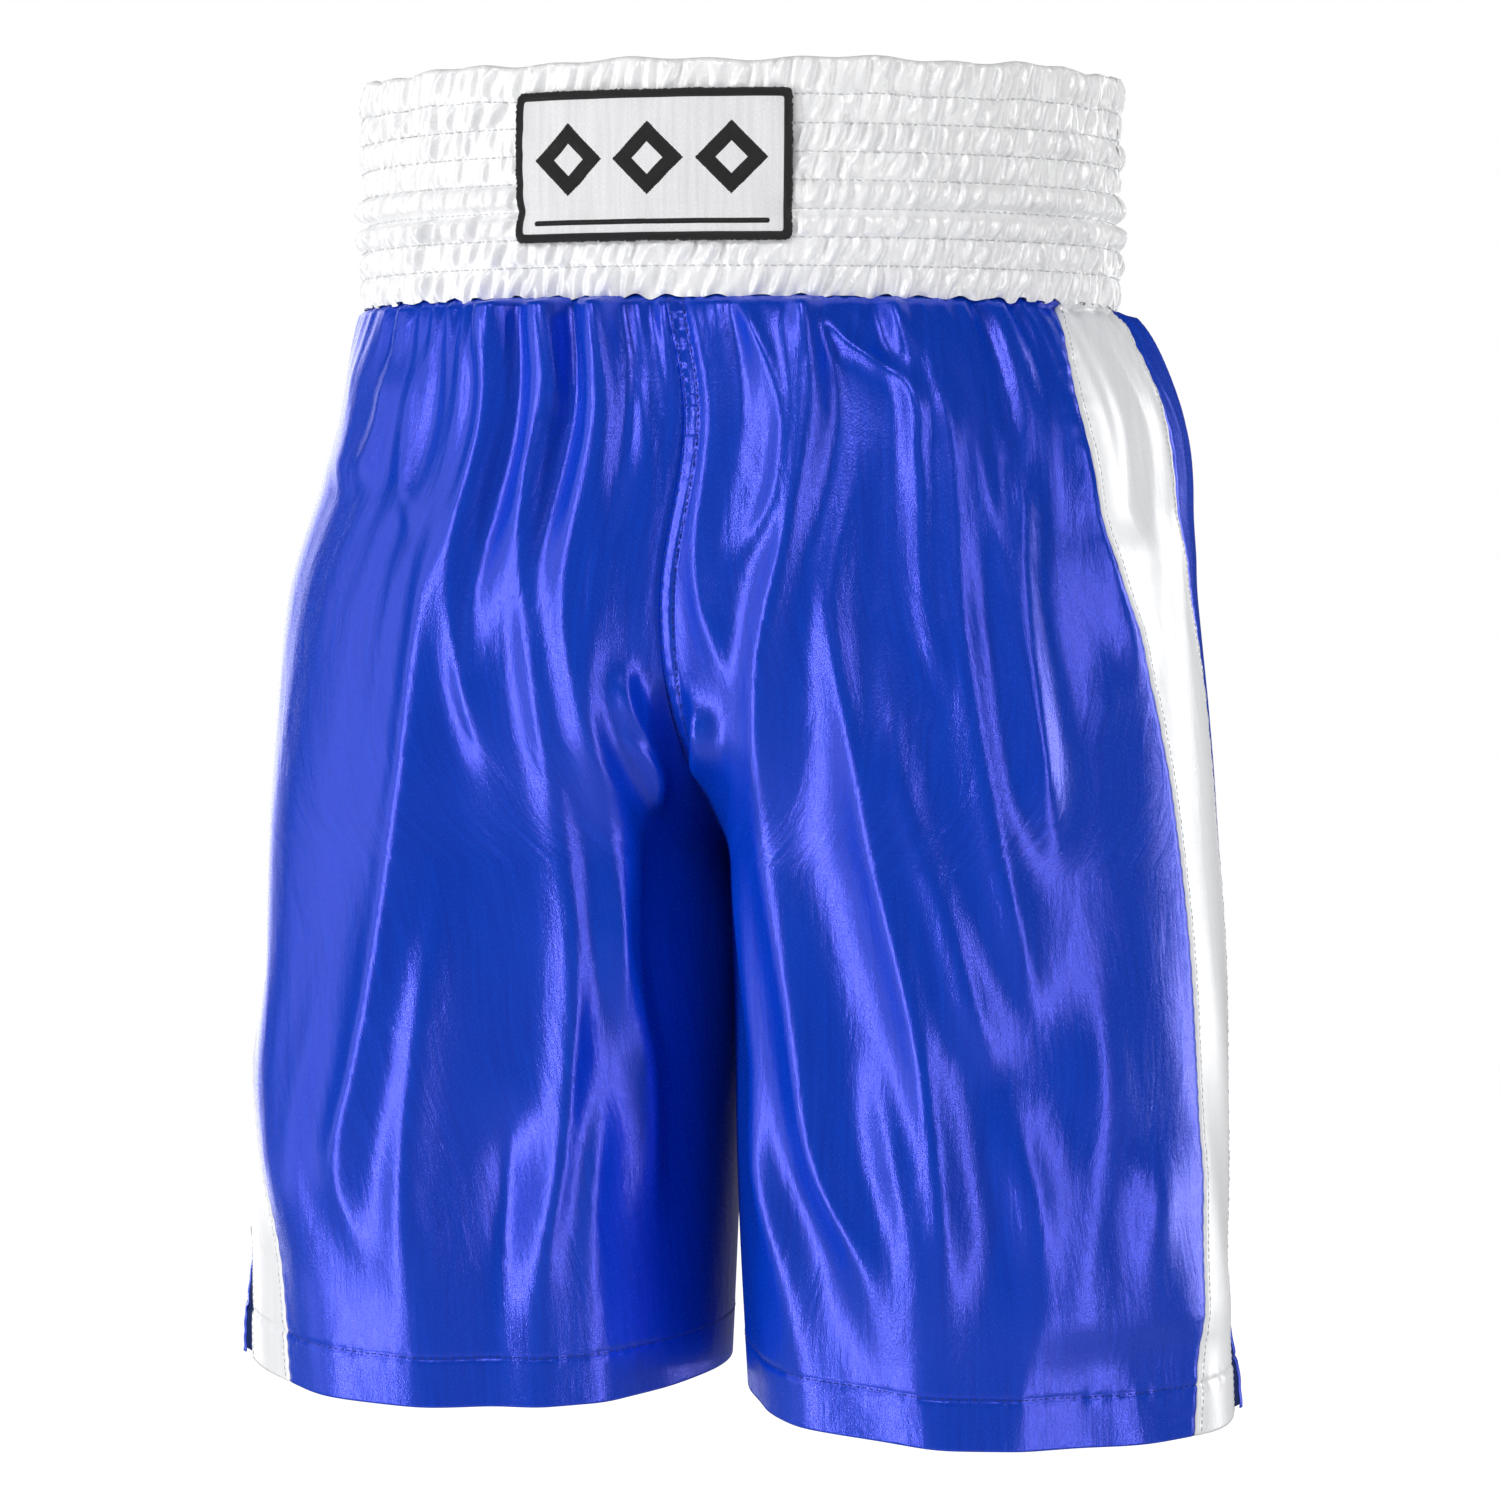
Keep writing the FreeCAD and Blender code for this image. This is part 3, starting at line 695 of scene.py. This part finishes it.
BLUE_THREAD = thread("blue_thread", (0.003, 0.028, 0.30))
ELASTIC = thread("elastic_webbing", (0.74, 0.73, 0.70), 420.0, 0.0005)

for number in range(1, 5):
    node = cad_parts[f"waistband_elastic_{number}"]
    node.data.materials.clear()
    node.data.materials.append(ELASTIC)


# ------------------------------------------------------------------ panels

def dense_ends(count, edge, share):
    """Shares from 0 to 1 with a given share of them packed into an edge length at each end."""
    packed = int(count * share)
    left = np.linspace(0, edge, packed, endpoint=False)
    middle = np.linspace(edge, 1 - edge, count - 2 * packed, endpoint=False)
    return np.concatenate([left, middle, np.linspace(1 - edge, 1, packed)])


def panel_heights():
    """Heights from hem to just inside the band: close together at the hem and the gathers."""
    hem_zone, gather_zone, under_band = HEM + 0.030, BAND_LOW - 0.070, BAND_LOW + 0.003
    return np.concatenate([
        np.linspace(HEM, hem_zone, 26, endpoint=False),
        np.linspace(hem_zone, gather_zone, 160, endpoint=False),
        np.linspace(gather_zone, under_band, 46),
    ])


def cloth_uv(points):
    """Cloth coordinates in metres: distance along each row from its middle, and the height."""
    steps = np.linalg.norm(np.diff(points, axis=1), axis=2)
    along = np.concatenate([np.zeros((len(points), 1)), np.cumsum(steps, axis=1)], axis=1)
    along -= along[:, -1:] / 2
    return np.stack([along, points[..., 2]], axis=-1)


def panel(name, node, side, start, finish, columns, edge, share, materials):
    """A cloth panel between two angle functions of the height, closer meshed near its edges."""
    z = panel_heights()[:, None]
    s = dense_ends(columns, edge, share)[None, :]
    angle = start(z) * (1 - s) + finish(z) * s
    points = cloth_point(side, angle, z)
    faces = grid_faces(points.shape[0], points.shape[1])
    rising = finish(z).mean() > start(z).mean()
    return make_piece(name, node, points, faces, materials, cloth_uv(points), WALL,
                      flip=rising != (side > 0))


def side_pieces(side, word):
    """The front and back panels of one side, from the stripe's seams to the middle or inseam."""
    columns, edge, packed = 166, 0.045, 0.15

    def front_seam(z):
        return stripe_angle(side, z, -STRIPE_WIDTH / 2)

    def back_seam(z):
        return stripe_angle(side, z, STRIPE_WIDTH / 2)

    def front_middle(z):
        return -inner_angle(z)

    front = panel(f"front_panel_{word}_cloth", f"front_panel_{word}", side, front_seam,
                  front_middle, columns, edge, packed, (BLUE, BLUE_INSIDE))
    back = panel(f"back_panel_{word}_cloth", f"back_panel_{word}", side, back_seam,
                 inner_angle, columns, edge, packed, (BLUE, BLUE_INSIDE))
    return front, back


def vent_share(z):
    """1 in the height of the slit and 0 above it."""
    return (z < HEM + VENT_HEIGHT).astype(float)


def stripe(side, word):
    """A white stripe whose rear edge steps forward at the slit."""
    columns, edge, packed = 48, 0.18, 0.3

    def front_edge(z):
        return stripe_angle(side, z, -STRIPE_WIDTH / 2)

    def back_edge(z):
        return stripe_angle(side, z, STRIPE_WIDTH / 2 - VENT_SETBACK * vent_share(z))

    return panel(f"side_stripe_{word}_cloth", f"side_stripe_{word}", side, front_edge, back_edge,
                 columns, edge, packed, (WHITE, WHITE_INSIDE))


def facing(side, word):
    """The facing that shows through the slit, a little inside the cloth; its near-black navy is
    painted shade.
    """
    rows, columns, depth, thickness = 34, 14, -0.0010, 0.0005
    z = np.linspace(HEM + 0.002, HEM + VENT_HEIGHT + 0.004, rows)[:, None]
    s = np.linspace(0, 1, columns)[None, :]
    low = stripe_angle(side, z, STRIPE_WIDTH / 2 - VENT_SETBACK - 0.002)
    high = stripe_angle(side, z, STRIPE_WIDTH / 2 + 0.006)
    points = cloth_point(side, low * (1 - s) + high * s, z, lift=depth)
    return make_piece(f"vent_facing_{word}_cloth", f"vent_facing_{word}", points,
                      grid_faces(rows, columns), FACING_PAINTED_SHADE, cloth_uv(points), thickness, flip=side < 0)


# ------------------------------------------------------------------ stitches

def along_run(places, run, values):
    """Vectors read off a run at distances along it, straight between its points."""
    return np.stack([np.interp(places, run, values[:, i]) for i in range(3)], axis=1)


def stitches(name, node, runs, pitch, length, radius, material):
    """Separate stitches along runs of (points, outward directions), a pitch apart.

    Each stitch is a closed six-sided spindle: rings of a share of its radius along its length,
    bent by a fourth power of the way from its middle so that both ends dip into the cloth.
    """
    along = np.array([-0.5, -0.42, -0.2, 0.2, 0.42, 0.5])
    girth = np.array([0.05, 0.75, 1.0, 1.0, 0.75, 0.05])
    turn = np.arange(6) * math.pi / 3
    probe, tiny = 0.0004, 1e-9
    all_points, count = [], 0
    for path, out in runs:
        step = np.linalg.norm(np.diff(path, axis=0), axis=1)
        run = np.concatenate([[0], np.cumsum(step)])
        places = np.arange(pitch / 2, run[-1], pitch)
        middle = along_run(places, run, path)
        normal = along_run(places, run, out)
        tangent = along_run(places + probe, run, path) - along_run(places - probe, run, path)
        tangent /= np.linalg.norm(tangent, axis=1, keepdims=True) + tiny
        normal -= tangent * np.sum(normal * tangent, axis=1, keepdims=True)
        normal /= np.linalg.norm(normal, axis=1, keepdims=True) + tiny
        cross = np.cross(tangent, normal)
        dip = radius * (0.9 - 2.2 * (2 * along) ** 4)
        up = dip[:, None] + radius * girth[:, None] * np.sin(turn)
        sideways = radius * girth[:, None] * np.cos(turn)
        ring = (
            middle[:, None, None]
            + tangent[:, None, None] * (along * length)[None, :, None, None]
            + normal[:, None, None] * up[None, ..., None]
            + cross[:, None, None] * sideways[None, ..., None]
        )
        all_points.append(ring.reshape(-1, 3))
        count += len(places)
    points = np.concatenate(all_points)
    caps = [[0, 3, 2, 1], [0, 5, 4, 3], [30, 31, 32, 33], [30, 33, 34, 35]]
    one = np.concatenate([grid_faces(6, 6, closed=True), caps])
    faces = (one[None] + 36 * np.arange(count)[:, None, None]).reshape(-1, 4)
    return make_piece(name, node, points, faces, material, flip=True)


def cloth_run(side, angle, z):
    """A path on the cloth with its outward directions, from two lifts of the same points."""
    step, tiny = 0.001, 1e-9
    low = cloth_point(side, angle, z)
    high = cloth_point(side, angle, z, lift=step)
    out = high - low
    return low, out / (np.linalg.norm(out, axis=1, keepdims=True) + tiny)


def band_run(z):
    """A stitch row round the waistband."""
    turns = np.linspace(0, 1, 1400)
    low = band_point(turns, np.full_like(turns, z), 0.0)
    out = band_point(turns, np.full_like(turns, z), 0.001) - low
    return low, out / np.linalg.norm(out, axis=1, keepdims=True)


def centre_angle(z, x):
    """The angle at which the front or back of a side lies at a distance from the centre."""
    centre, wide, _ = oval(z)
    return np.arccos(np.clip((x - centre) / wide, -1, 1))


def body_stitching(side, word):
    """The rows of one side: stripe edges, slit and hem, and the bar of tacks over the slit."""
    inset, pitch, length, radius = 0.0028, 0.0031, 0.0025, 0.00022
    hem_samples, bar_samples = 900, 20
    heights = np.linspace(HEM + 0.001, BAND_LOW, 700)
    above_slit = heights[heights > HEM + VENT_HEIGHT + 0.0025]
    slit = heights[heights < HEM + VENT_HEIGHT]
    rows = [
        cloth_run(side, stripe_angle(side, heights, -STRIPE_WIDTH / 2 + inset), heights),
        cloth_run(side, stripe_angle(side, above_slit, STRIPE_WIDTH / 2 - inset), above_slit),
    ]
    stitches(f"stripe_rows_{word}", f"stripe_stitching_{word}", rows, pitch, length, radius,
             WHITE_THREAD)
    edge = STRIPE_WIDTH / 2 - VENT_SETBACK - inset
    stitches(f"vent_rows_{word}", f"vent_stitching_{word}",
             [cloth_run(side, stripe_angle(side, slit, edge), slit)], pitch, length, radius,
             WHITE_THREAD)
    level = HEM + HEM_DEPTH
    first = stripe_angle(side, np.array([level]), -STRIPE_WIDTH / 2)[0]
    last = stripe_angle(side, np.array([level]), STRIPE_WIDTH / 2)[0]
    round_leg = np.linspace(last, first + FULL_TURN, hem_samples)
    hem = cloth_run(side, np.where(round_leg > math.pi, round_leg - FULL_TURN, round_leg),
                    np.full(hem_samples, level))
    stitches(f"hem_row_{word}", f"hem_stitching_{word}", [hem], 0.0034, 0.0026, 0.00024,
             BLUE_THREAD)
    tack_z = HEM + VENT_HEIGHT + 0.0005 + 0.0007 * np.arange(4)
    offsets = np.linspace(STRIPE_WIDTH / 2 - VENT_SETBACK - 0.001, STRIPE_WIDTH / 2,
                          bar_samples)
    bars = [cloth_run(side, stripe_angle(side, np.full(bar_samples, z), offsets),
                      np.full(bar_samples, z)) for z in tack_z]
    stitches(f"vent_tack_{word}_bar", f"vent_tack_{word}", bars, 0.0045, 0.0046, 0.0004,
             WHITE_THREAD)


def centre_stitching(name, node, front):
    """The two rows beside the centre seam, on the wearer's left of it."""
    heights = np.linspace(CROTCH + 0.012, BAND_LOW, 500)
    sign = -1 if front else 1
    beside_join = 0.0012
    rows = [cloth_run(1, sign * centre_angle(heights, x), heights) for x in (beside_join, SEAM_ROW)]
    stitches(name, node, rows, 0.0031, 0.0025, 0.00022, BLUE_THREAD)


# ------------------------------------------------------------------ label

def label_point(u, v, lift):
    """A point over the front of the band at u, v metres from the label's middle.

    The label lies over the channels, dipping a little at each row and more at the deep crease.
    """
    angle = -math.pi / 2 + (LABEL_X + u) / WAIST_HALF
    z = LABEL_Z + v
    edge = smoothstep(LABEL_WIDE * 0.36, LABEL_WIDE * 0.5, np.abs(u))
    dips = sum(np.exp(-((z - row) / 0.0028) ** 2) for row in BAND_ROWS) * 0.0004
    crease = (0.0005 + 0.0011 * edge) * np.exp(-((z - DEEP_ROW) / 0.0045) ** 2)
    wave = 0.0005 * np.sin(u * 95 + 1.3) * np.cos(v * 60) + 0.0003 * np.sin(u * 210 + v * 140)
    clearance = 0.0042
    wall = clearance - dips - crease + wave + lift
    return np.stack(np.broadcast_arrays(
        (WAIST_HALF + wall) * np.cos(angle), (WAIST_DEEP + wall) * np.sin(angle), z), axis=-1)


def label_pieces():
    """The woven field, its overcast border, and a plain motif of hollow diamonds over a bar."""
    columns, rows, inset, thickness = 130, 70, 0.001, 0.0008
    outer_samples, motif_samples = 520, 220
    motif_height, motif_steps, motif_fray = 0.0005, 7, 0.00008
    u = np.linspace(-LABEL_WIDE / 2 + inset, LABEL_WIDE / 2 - inset, columns)[None, :]
    v = np.linspace(-LABEL_TALL / 2 + inset, LABEL_TALL / 2 - inset, rows)[:, None]
    points = label_point(u, v, 0.0)
    field = make_piece("label_field_cloth", "label_field", points, grid_faces(rows, columns),
                       LABEL_CLOTH, cloth_uv(points), thickness)
    outside = rectangle(LABEL_WIDE, LABEL_TALL, 0.003, outer_samples)
    inside = rectangle(LABEL_WIDE - 2 * BORDER, LABEL_TALL - 2 * BORDER, 0.0008, outer_samples)
    raised_ring("label_border_thread", "label_border", outside, inside, 0.0011, 9, 0.00022)
    shapes = []
    for index in (-1, 0, 1):
        middle = np.array([index * 0.037, 0.003])
        outer, inner = diamond(0.017, motif_samples), diamond(0.006, motif_samples)
        shapes.append((outer + middle, inner + middle, 1.0))
    bar = np.array([0.0, -LABEL_TALL / 2 + BORDER + 0.0045])
    shapes.append((rectangle(0.108, 0.0026, 0.0008, motif_samples) + bar,
                   rectangle(0.1054, 0.00004, 0.00001, motif_samples) + bar, 0.5))
    for index, (outer, inner, crest) in enumerate(shapes):
        raised_ring(f"label_motif_{index}", "label_motif", outer, inner, motif_height,
                    motif_steps, motif_fray, crest)
    return field


def rectangle(wide, tall, radius, count):
    """A closed outline with rounded corners, its points evenly spaced along it."""
    turn = np.linspace(0, math.pi / 2, 8)
    corners = [(1, 1, 0.0), (-1, 1, 0.5), (-1, -1, 1.0), (1, -1, 1.5)]
    outline = np.concatenate([
        np.stack([sx * (wide / 2 - radius) + radius * np.cos(turn + math.pi * start),
                  sy * (tall / 2 - radius) + radius * np.sin(turn + math.pi * start)], axis=1)
        for sx, sy, start in corners])
    outline = np.concatenate([outline, outline[:1]])
    run = np.concatenate([[0], np.cumsum(np.linalg.norm(np.diff(outline, axis=0), axis=1))])
    places = np.linspace(0, run[-1], count, endpoint=False)
    return np.stack([np.interp(places, run, outline[:, i]) for i in range(2)], axis=1)


def diamond(radius, count):
    """A closed square outline standing on its corner."""
    turn = np.linspace(0, FULL_TURN, count, endpoint=False)
    reach = radius / (np.abs(np.cos(turn)) + np.abs(np.sin(turn)))
    return np.stack([reach * np.cos(turn), reach * np.sin(turn)], axis=1)


def raised_ring(name, node, outer, inner, height, steps, frayed, crest=1.0):
    """A satin-stitched band between two outlines on the label, closed underneath.

    A rounded ridge with short thread ridges across it and slightly uneven edges.  Its section is
    half a sine wave, or with a crest of 0.5 a quarter, highest at the inner outline.
    """
    sunk = 0.0002
    count = len(outer)
    across = np.linspace(0, 1, steps)[:, None, None]
    fray = frayed * np.random.default_rng(5).normal(size=(count, 1))
    away = outer - outer.mean(axis=0)
    away = away / np.linalg.norm(away, axis=1, keepdims=True)
    flat = (outer + away * fray)[None] * (1 - across) + inner[None] * across
    bulge = np.maximum(np.sin(crest * math.pi * np.linspace(0, 1, steps)), 0) ** 0.45
    threads = 0.12 * np.sin(np.arange(count) * math.pi * 0.72)
    lift = height * bulge[:, None] * (1 + threads[None, :] * (bulge[:, None] > 0)) - sunk
    points = label_point(flat[..., 0], flat[..., 1], lift)
    faces = grid_faces(steps + 1, count, closed=True) % (steps * count)
    return make_piece(name, node, points, faces, BLACK)


# ------------------------------------------------------------------ the band's cloth

SEAM_PINCH = 0.9      # how far the casing's inner layer comes out to meet the outer at the seam


def waistband():
    """The casing: outer wall from its foot up, over the ruffled header and down inside.

    Its inner layer comes out at the foot to meet the outer, by SEAM_PINCH of the way.
    """
    columns, channel_rows, inner_rows = 980, 10, 18
    channels = zip(BAND_KNOTS[:-1], BAND_KNOTS[1:])
    outer_z = np.concatenate(
        [np.linspace(high, low, channel_rows, endpoint=False) for high, low in channels]
        + [[BAND_KNOTS[-1]]])[::-1]
    turns = np.linspace(0, 1, columns, endpoint=False)[None, :]
    outer = band_point(turns, outer_z[:, None])
    inner_z = np.linspace(0.0010, BAND_LOW, inner_rows)
    inner = band_point(turns, inner_z[:, None], inner=True)
    meet = smoothstep(BAND_LOW + 0.006, BAND_LOW, inner_z)[:, None, None]
    inner = inner * (1 - meet) + (outer[:1] * SEAM_PINCH + inner * (1 - SEAM_PINCH)) * meet
    crest = (outer[-1:] + inner[:1]) / 2 + np.array([0, 0, 0.0012])
    points = np.concatenate([outer, crest, inner])
    mean_radius = 0.146
    along = np.broadcast_to(FULL_TURN * turns * mean_radius, points.shape[:2])
    uv = np.stack([along, points[..., 2]], axis=-1)
    piece = make_piece("waistband_casing_cloth", "waistband_casing", points,
                       grid_faces(len(points), columns, closed=True), SHIRRED, uv)
    stitches("waistband_rows", "waistband_stitching", [band_run(z) for z in BAND_ROWS], 0.0034,
             0.0027, 0.00026, WHITE_THREAD)
    return piece


casing = waistband()
for side, word in ((1, "left"), (-1, "right")):
    front, back = side_pieces(side, word)
    side_stripe = stripe(side, word)
    vent = facing(side, word)
    body_stitching(side, word)
centre_stitching("centre_front_rows", "centre_front_stitching", front=True)
centre_stitching("centre_back_rows", "centre_back_stitching", front=False)
label = label_pieces()


# ------------------------------------------------------------------ floor, light and camera

def studio_floor():
    """A plain pale floor well below the hems, a little brighter to the camera."""
    mesh = bpy.data.meshes.new("floor")
    reach, level, glow_seen = 12.0, HEM - 1.45, 0.9
    mesh.from_pydata([(-reach, -reach, level), (reach, -reach, level), (reach, reach, level),
                      (-reach, reach, level)], [], [(0, 1, 2, 3)])
    floor = bpy.data.objects.new("floor", mesh)
    bpy.context.collection.objects.link(floor)
    material, tree, shader = material_base("pale_floor")
    shader.inputs["Base Color"].default_value = (0.5, 0.5, 0.5, 1)
    shader.inputs["Roughness"].default_value = 0.9
    path = add(tree, "ShaderNodeLightPath")
    glow = maths(tree, "MULTIPLY", path.outputs["Is Camera Ray"], glow_seen)
    shader.inputs["Emission Color"].default_value = (1, 1, 1, 1)
    tree.links.new(glow, shader.inputs["Emission Strength"])
    mesh.materials.append(material)


def softbox(name, place, aim, wide, tall, power):
    """A white rectangular soft light that faces a point, its sizes in metres and power in watts."""
    lamp = bpy.data.lights.new(name, "AREA")
    lamp.shape = "RECTANGLE"
    lamp.size, lamp.size_y = wide, tall
    lamp.energy = power
    holder = bpy.data.objects.new(name, lamp)
    holder.location = place
    holder.rotation_euler = (Vector(aim) - Vector(place)).to_track_quat("-Z", "Y").to_euler()
    bpy.context.collection.objects.link(holder)


def world_light(strength, mirrored):
    """White to the camera, a weaker even light on the object, and dim where it is mirrored."""
    world = bpy.data.worlds.new("studio")
    bpy.context.scene.world = world
    world.use_nodes = True
    tree = world.node_tree
    tree.nodes.clear()
    path = add(tree, "ShaderNodeLightPath")
    fill = add(tree, "ShaderNodeBackground", in_0=(1, 1, 1, 1), in_1=strength)
    seen = add(tree, "ShaderNodeBackground", in_0=(1, 1, 1, 1), in_1=1.0)
    dim = add(tree, "ShaderNodeBackground", in_0=(1, 1, 1, 1), in_1=mirrored)
    even = add(tree, "ShaderNodeMixShader", [(0, path.outputs["Is Glossy Ray"]),
                                             (1, fill.outputs[0]), (2, dim.outputs[0])])
    mix = add(tree, "ShaderNodeMixShader", [(0, path.outputs["Is Camera Ray"]),
                                            (1, even.outputs[0]), (2, seen.outputs[0])])
    out = add(tree, "ShaderNodeOutputWorld")
    tree.links.new(mix.outputs[0], out.inputs[0])


def camera():
    """A long lens a little to the wearer's left, slightly above the middle and slightly rolled."""
    far, height, frame_wide, sensor, roll_degrees = 1.93, -0.205, 0.699, 36.0, 0.4
    middle = Vector((0.0085, 0.0, -0.305))
    place = Vector((far * math.sin(TURN), -far * math.cos(TURN), height))
    data = bpy.data.cameras.new("camera")
    data.sensor_width = sensor
    data.lens = sensor * far / frame_wide
    holder = bpy.data.objects.new("camera", data)
    bpy.context.collection.objects.link(holder)
    aim = (middle - place).to_track_quat("-Z", "Y").to_matrix().to_4x4()
    roll = Matrix.Rotation(math.radians(roll_degrees), 4, "Z")
    holder.matrix_world = Matrix.Translation(place) @ aim @ roll
    bpy.context.scene.camera = holder


studio_floor()
middle = (0.0, 0.0, -0.30)
softbox("left_box", (-1.55, -1.6, -0.55), middle, 0.18, 3.0, 33)
softbox("right_box", (2.1, -1.0, -0.55), middle, 0.20, 3.0, 20)
softbox("left_wall", (-2.72, -0.55, -0.1), middle, 1.5, 2.6, 13)
softbox("front_box", (0.3, -2.1, 1.2), middle, 0.8, 0.6, 14)
softbox("back_left_box", (-1.6, 1.7, -0.1), middle, 1.1, 2.0, 20)
softbox("back_right_box", (1.8, 1.5, -0.1), middle, 0.5, 2.0, 22)
world_light(0.42, 0.03)
camera()
bpy.context.scene.view_settings.view_transform = "Standard"
